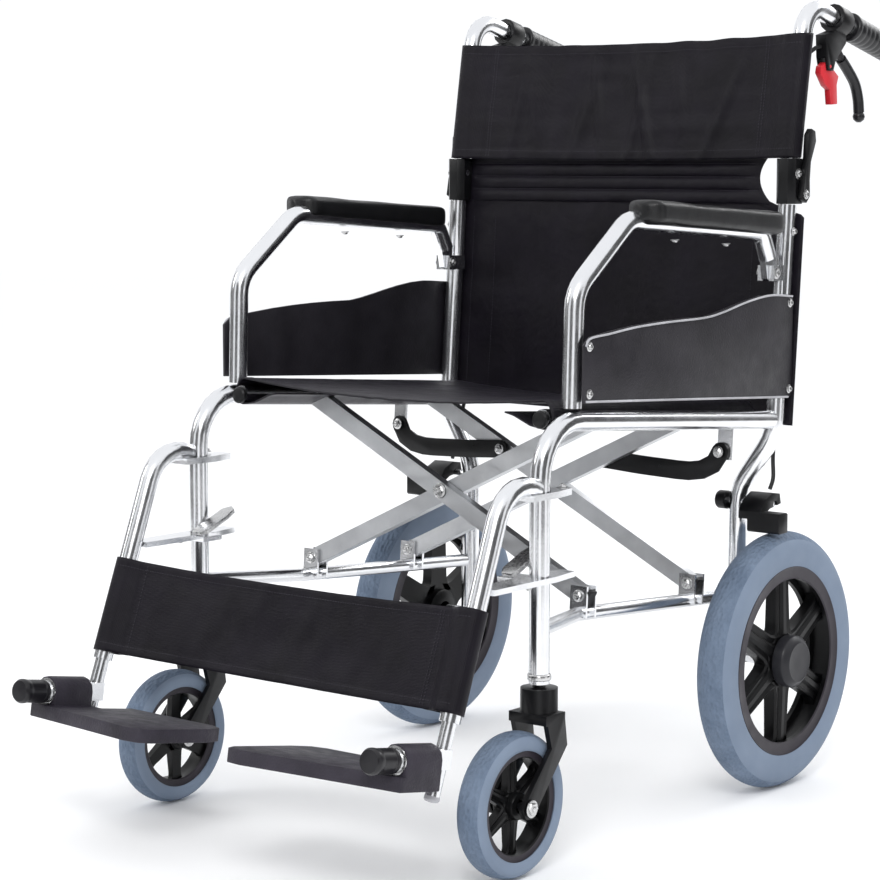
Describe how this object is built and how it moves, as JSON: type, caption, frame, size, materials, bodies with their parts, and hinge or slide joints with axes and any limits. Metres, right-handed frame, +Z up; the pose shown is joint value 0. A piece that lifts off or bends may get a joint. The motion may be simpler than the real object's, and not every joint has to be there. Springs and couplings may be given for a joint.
{
  "type": "transport wheelchair",
  "caption": "Folding transport wheelchair: tubular side frames on an X brace, sling seat, half-folding back with push handles, padded armrests, flip-up footplates and solid tyres.",
  "frame": {"origin": "floor level under the middle of the chair's bounding box", "axes": "+Z up, the sitter faces -Y, +X to the sitter's left"},
  "size_m": [0.564, 1.0168, 0.9275],
  "materials": {
    "polished_tube": "polished aluminium",
    "satin_bar": "satin aluminium",
    "black_fitting": "moulded black plastic",
    "grip": "glossy grey-black hand grip",
    "lever_metal": "bright lever",
    "red_lever": "red plastic",
    "steel_link": "black painted steel",
    "pad": "soft black polyurethane skin",
    "guard": "smooth dark plastic sheet",
    "footplate_shell": "dark grey textured plastic",
    "rim": "black moulded wheel",
    "tyre": "blue-grey solid tyre",
    "webbing": "near-black woven nylon",
    "cable": "black cable jacket"
  },
  "bodies": {
    "frame_right": {"front_frame_tube_right": "polished_tube", "rear_post_right": "polished_tube", "lower_rail_right": "polished_tube", "arm_tube_right": "polished_tube", "arm_pad_right": "pad", "skirt_guard_right": "guard", "back_hinge_right": "black_fitting", "hanger_tube_right": "polished_tube", "brake_cable_right": "cable"},
    "frame_left": {"front_frame_tube_left": "polished_tube", "rear_post_left": "polished_tube", "lower_rail_left": "polished_tube", "arm_tube_left": "polished_tube", "arm_pad_left": "pad", "skirt_guard_left": "guard", "back_hinge_left": "black_fitting", "hanger_tube_left": "polished_tube", "brake_cable_left": "cable", "back_lower": "webbing", "calf_strap": "webbing"},
    "brace_b": {"brace_bar_front_b": "satin_bar", "brace_bar_rear_b": "satin_bar", "seat_rail_left": "polished_tube"},
    "brace_a": {"brace_bar_front_a": "satin_bar", "brace_bar_rear_a": "satin_bar", "seat_rail_right": "polished_tube"},
    "seat": {"seat_sling": "webbing"},
    "link_left": {"brace_link_left": "steel_link"},
    "extension_left": {"extension_tube_left": "polished_tube"},
    "footplate_left": {"footplate_left": "footplate_shell"},
    "upper_left": {"upper_post_left": "polished_tube", "push_grip_left": "grip", "lever_clamp_left": "black_fitting", "back_upper": "webbing"},
    "brake_lever_left": {"brake_lever_left": "lever_metal"},
    "brake_shoe_left": {"brake_shoe_left": "black_fitting"},
    "lock_lever_left": {"lock_lever_left": "red_lever"},
    "release_lever_left": {"release_lever_left": "black_fitting"},
    "hanger_latch_left": {"hanger_latch_left": "lever_metal"},
    "caster_fork_left": {"caster_fork_left": "black_fitting"},
    "caster_wheel_left": {"caster_rim_left": "rim", "caster_tyre_left": "tyre"},
    "rear_wheel_left": {"rear_rim_left": "rim", "rear_tyre_left": "tyre"},
    "link_right": {"brace_link_right": "steel_link"},
    "extension_right": {"extension_tube_right": "polished_tube"},
    "footplate_right": {"footplate_right": "footplate_shell"},
    "upper_right": {"upper_post_right": "polished_tube", "push_grip_right": "grip", "lever_clamp_right": "black_fitting"},
    "brake_lever_right": {"brake_lever_right": "lever_metal"},
    "brake_shoe_right": {"brake_shoe_right": "black_fitting"},
    "lock_lever_right": {"lock_lever_right": "red_lever"},
    "release_lever_right": {"release_lever_right": "black_fitting"},
    "hanger_latch_right": {"hanger_latch_right": "lever_metal"},
    "caster_fork_right": {"caster_fork_right": "black_fitting"},
    "caster_wheel_right": {"caster_rim_right": "rim", "caster_tyre_right": "tyre"},
    "rear_wheel_right": {"rear_rim_right": "rim", "rear_tyre_right": "tyre"}
  },
  "joints": [
    {"name": "fold", "type": "hinge", "parent": "frame_right", "child": "brace_b", "pos_m": [-0.203, -0.07246, 0.265], "axis": [0, -0.9976, 0.0698], "range_deg": [0, 48], "deforming": ["seat_sling", "back_lower", "back_upper", "calf_strap"]},
    {"name": "brace_centre", "type": "hinge", "parent": "brace_b", "child": "brace_a", "pos_m": [0, -0.06561, 0.36289], "axis": [0, -0.9976, 0.0698], "range_deg": [-96, 0]},
    {"name": "brace_foot_left", "type": "hinge", "parent": "brace_a", "child": "frame_left", "pos_m": [0.203, -0.07246, 0.265], "axis": [0, -0.9976, 0.0698], "range_deg": [0, 48]},
    {"name": "seat_level", "type": "hinge", "parent": "brace_b", "child": "seat", "pos_m": [0.218, 0.02754, 0.454], "axis": [0, -0.9976, 0.0698], "range_deg": [-48, 0]},
    {"name": "link_left", "type": "hinge", "parent": "frame_left", "child": "link_left", "pos_m": [0.24, -0.06156, 0.4206], "axis": [0, -0.9976, 0.0698], "range_deg": [-70, 0]},
    {"name": "extension_slide_left", "type": "slide", "parent": "frame_left", "child": "extension_left", "axis": [0, -0.3633, -0.9317], "range_m": [0, 0.05]},
    {"name": "footplate_flip_left", "type": "hinge", "parent": "extension_left", "child": "footplate_left", "pos_m": [0.25, -0.43146, 0.155], "axis": [0, 0.9848, -0.1736], "range_deg": [0, 90]},
    {"name": "back_fold_left", "type": "hinge", "parent": "frame_left", "child": "upper_left", "pos_m": [0.247, 0.26154, 0.724], "axis": [-1, 0, 0], "range_deg": [0, 90], "deforming": ["brake_cable_left"]},
    {"name": "brake_lever_left", "type": "hinge", "parent": "upper_left", "child": "brake_lever_left", "pos_m": [0.247, 0.36454, 0.872], "axis": [1, 0, 0], "range_deg": [0, 30], "stiffness_Nm_per_rad": 0.8, "springref_deg": -11.46},
    {"name": "brake_shoe_left", "type": "hinge", "parent": "frame_left", "child": "brake_shoe_left", "pos_m": [0.23, 0.22754, 0.337], "axis": [1, 0, 0], "range_deg": [0, 7.5]},
    {"name": "lock_lever_left", "type": "hinge", "parent": "upper_left", "child": "lock_lever_left", "pos_m": [0.247, 0.34254, 0.851], "axis": [-1, 0, 0], "range_deg": [0, 20]},
    {"name": "release_lever_left", "type": "hinge", "parent": "frame_left", "child": "release_lever_left", "pos_m": [0.263, 0.26754, 0.7], "axis": [-1, 0, 0], "range_deg": [0, 15], "stiffness_Nm_per_rad": 0.3, "springref_deg": -11.46},
    {"name": "hanger_latch_left", "type": "hinge", "parent": "frame_left", "child": "hanger_latch_left", "pos_m": [0.222, -0.24246, 0.31], "axis": [0, 0, 1], "range_deg": [0, 15], "stiffness_Nm_per_rad": 0.3, "springref_deg": -11.46},
    {"name": "caster_swivel_left", "type": "hinge", "parent": "frame_left", "child": "caster_fork_left", "pos_m": [0.247, -0.22446, 0.2], "axis": [0, 0, 1], "continuous": true},
    {"name": "caster_spin_left", "type": "hinge", "parent": "caster_fork_left", "child": "caster_wheel_left", "pos_m": [0.247, -0.27246, 0.077], "axis": [1, 0, 0], "continuous": true},
    {"name": "rear_spin_left", "type": "hinge", "parent": "frame_left", "child": "rear_wheel_left", "pos_m": [0.26, 0.22754, 0.1525], "axis": [1, 0, 0], "continuous": true},
    {"name": "link_right", "type": "hinge", "parent": "frame_right", "child": "link_right", "pos_m": [-0.24, -0.06156, 0.4206], "axis": [0, -0.9976, 0.0698], "range_deg": [0, 70]},
    {"name": "extension_slide_right", "type": "slide", "parent": "frame_right", "child": "extension_right", "axis": [0, -0.3633, -0.9317], "range_m": [0, 0.05]},
    {"name": "footplate_flip_right", "type": "hinge", "parent": "extension_right", "child": "footplate_right", "pos_m": [-0.25, -0.43146, 0.155], "axis": [0, -0.9848, 0.1736], "range_deg": [0, 90]},
    {"name": "back_fold_right", "type": "hinge", "parent": "frame_right", "child": "upper_right", "pos_m": [-0.247, 0.26154, 0.724], "axis": [-1, 0, 0], "range_deg": [0, 90], "deforming": ["brake_cable_right"]},
    {"name": "brake_lever_right", "type": "hinge", "parent": "upper_right", "child": "brake_lever_right", "pos_m": [-0.247, 0.36454, 0.872], "axis": [1, 0, 0], "range_deg": [0, 30], "stiffness_Nm_per_rad": 0.8, "springref_deg": -11.46},
    {"name": "brake_shoe_right", "type": "hinge", "parent": "frame_right", "child": "brake_shoe_right", "pos_m": [-0.23, 0.22754, 0.337], "axis": [1, 0, 0], "range_deg": [0, 7.5]},
    {"name": "lock_lever_right", "type": "hinge", "parent": "upper_right", "child": "lock_lever_right", "pos_m": [-0.247, 0.34254, 0.851], "axis": [-1, 0, 0], "range_deg": [0, 20]},
    {"name": "release_lever_right", "type": "hinge", "parent": "frame_right", "child": "release_lever_right", "pos_m": [-0.263, 0.26754, 0.7], "axis": [-1, 0, 0], "range_deg": [0, 15], "stiffness_Nm_per_rad": 0.3, "springref_deg": -11.46},
    {"name": "hanger_latch_right", "type": "hinge", "parent": "frame_right", "child": "hanger_latch_right", "pos_m": [-0.222, -0.24246, 0.31], "axis": [0, 0, -1], "range_deg": [0, 15], "stiffness_Nm_per_rad": 0.3, "springref_deg": -11.46},
    {"name": "caster_swivel_right", "type": "hinge", "parent": "frame_right", "child": "caster_fork_right", "pos_m": [-0.247, -0.22446, 0.2], "axis": [0, 0, 1], "continuous": true},
    {"name": "caster_spin_right", "type": "hinge", "parent": "caster_fork_right", "child": "caster_wheel_right", "pos_m": [-0.247, -0.27246, 0.077], "axis": [1, 0, 0], "continuous": true},
    {"name": "rear_spin_right", "type": "hinge", "parent": "frame_right", "child": "rear_wheel_right", "pos_m": [-0.26, 0.22754, 0.1525], "axis": [1, 0, 0], "continuous": true}
  ],
  "couplings": [
    {"joint": "brace_centre", "follows": "fold", "ratio": -2},
    {"joint": "brace_foot_left", "follows": "fold", "ratio": 1},
    {"joint": "seat_level", "follows": "fold", "ratio": -1},
    {"joint": "link_left", "follows": "fold", "ratio": -1.446},
    {"joint": "footplate_flip_left", "follows": "fold", "ratio": 1.875},
    {"joint": "brake_shoe_left", "follows": "brake_lever_left", "ratio": 0.25},
    {"joint": "link_right", "follows": "fold", "ratio": 1.446},
    {"joint": "footplate_flip_right", "follows": "fold", "ratio": 1.875},
    {"joint": "back_fold_right", "follows": "back_fold_left", "ratio": 1},
    {"joint": "brake_shoe_right", "follows": "brake_lever_right", "ratio": 0.25}
  ]
}
